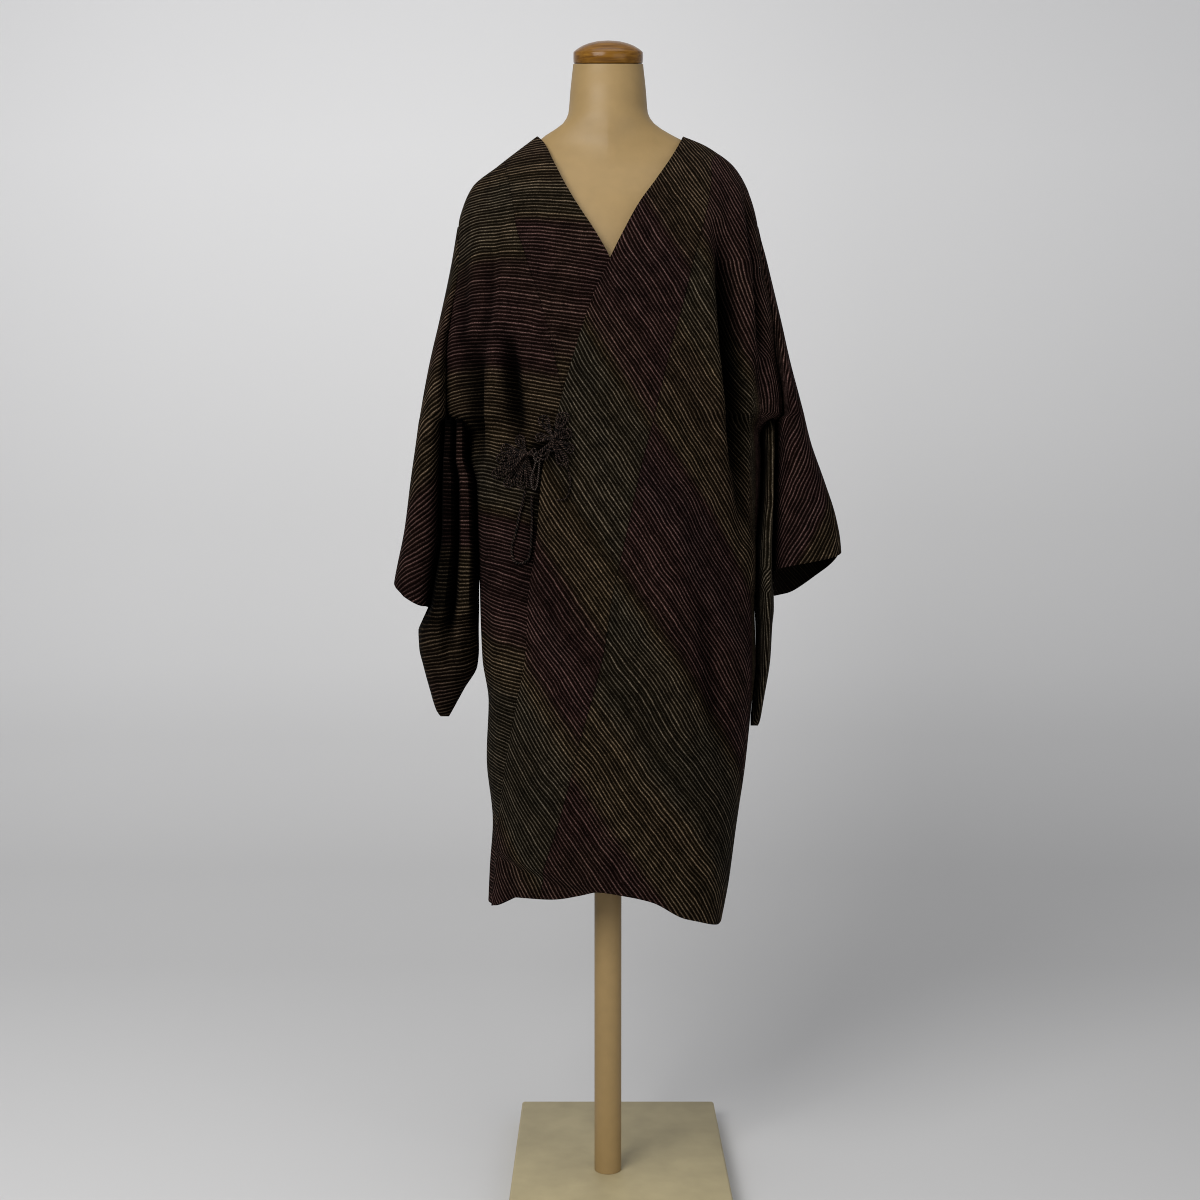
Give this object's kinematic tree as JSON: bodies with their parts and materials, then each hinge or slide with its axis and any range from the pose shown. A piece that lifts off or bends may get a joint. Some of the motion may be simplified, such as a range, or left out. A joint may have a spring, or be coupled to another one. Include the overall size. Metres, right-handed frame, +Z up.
{
  "type": "kimono coat on a dress form",
  "caption": "Striped kimono coat with a wide collar band, hanging sleeves and corded knots, worn on a limbless dress form with a turned cap, a pole and a flat base.",
  "frame": {"origin": "on the floor under the dress form's pole, in the underside of the base", "axes": "+Z up along the pole; +X to the wearer's left; -Y to the front of the coat"},
  "size_m": [0.5711, 0.45, 1.484],
  "materials": {
    "striped_cloth": "ribbed weave, matt with a slight sheen",
    "twisted_cord": "twisted cord",
    "cream_form": "satin",
    "turned_wood": "varnished"
  },
  "bodies": {
    "root": {"body_left": "striped_cloth", "body_right": "striped_cloth", "sleeve_left": "striped_cloth", "sleeve_right": "striped_cloth", "collar_band": "striped_cloth", "knot_over": "twisted_cord", "knot_under": "twisted_cord", "cord_loop": "twisted_cord", "form_torso": "cream_form", "form_cap": "turned_wood", "form_pole": "cream_form", "form_base": "cream_form"}
  },
  "joints": []
}
